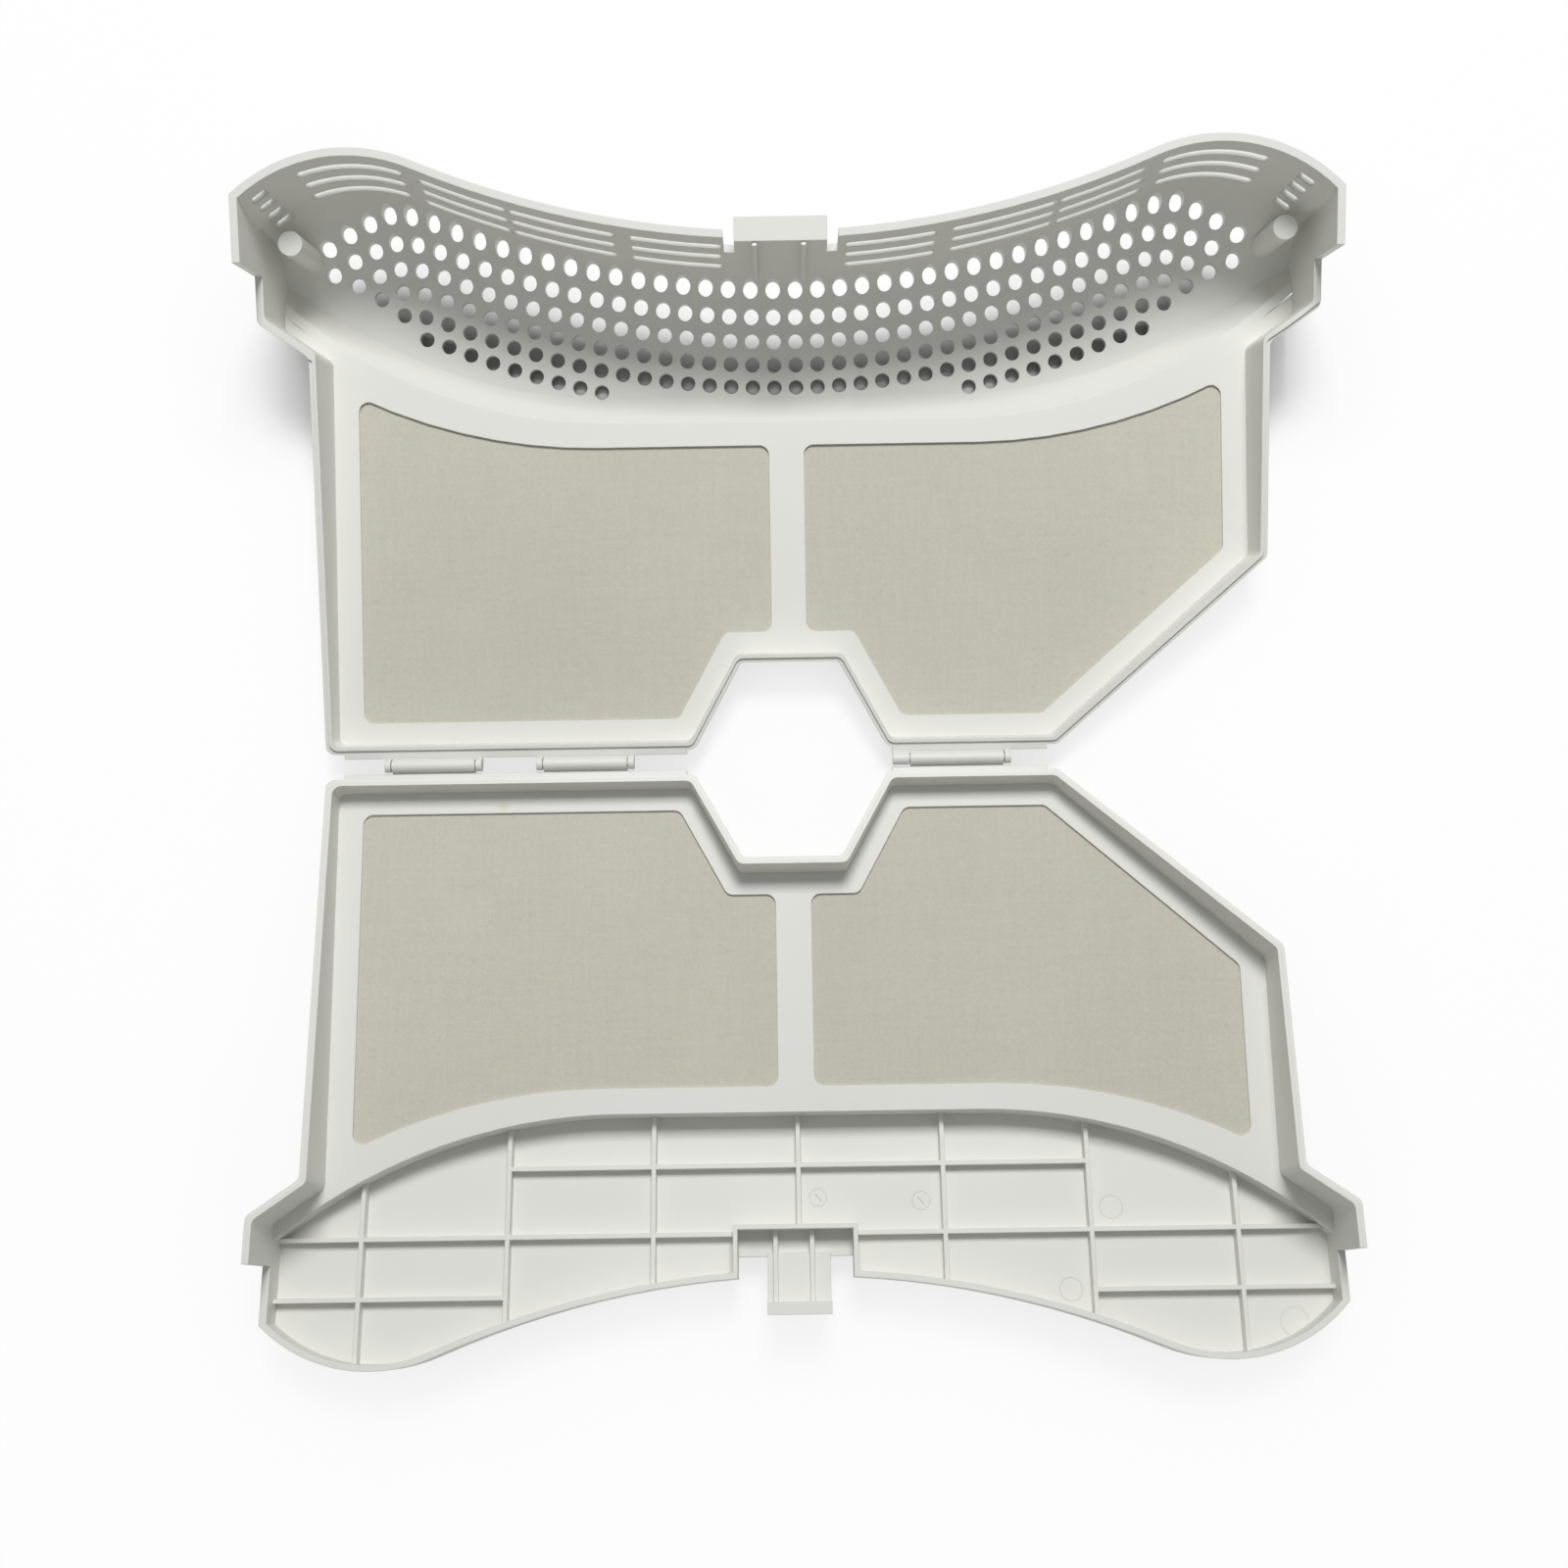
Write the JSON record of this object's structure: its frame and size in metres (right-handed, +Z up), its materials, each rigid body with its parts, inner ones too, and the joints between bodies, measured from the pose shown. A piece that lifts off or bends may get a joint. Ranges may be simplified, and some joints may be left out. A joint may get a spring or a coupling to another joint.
{
  "type": "lint filter",
  "caption": "Fold-out lint filter: hinged plastic half frames with fine screens, a deep perforated grille head with a wave-shaped back wall, and a ribbed cover plate with a latch tongue.",
  "frame": {"origin": "on the ground under the middle of the hinge, with the filter lying open", "axes": "+X along the hinge, +Y from the hinge towards the rear half with the grille head, +Z up"},
  "size_m": [0.2804, 0.3098, 0.0575],
  "materials": {
    "plastic": "satin moulded",
    "gauze": "fine woven screen"
  },
  "bodies": {
    "rear": {"rear_shell": "plastic", "rear_screen_left": "gauze", "rear_screen_right": "gauze"},
    "front": {"front_shell": "plastic", "front_screen_left": "gauze", "front_screen_right": "gauze"}
  },
  "joints": [
    {"name": "fold", "type": "hinge", "parent": "rear", "child": "front", "pos_m": [0, 0, 0.00903], "axis": [-1, 0, 0], "range_deg": [0, 156.5]}
  ]
}
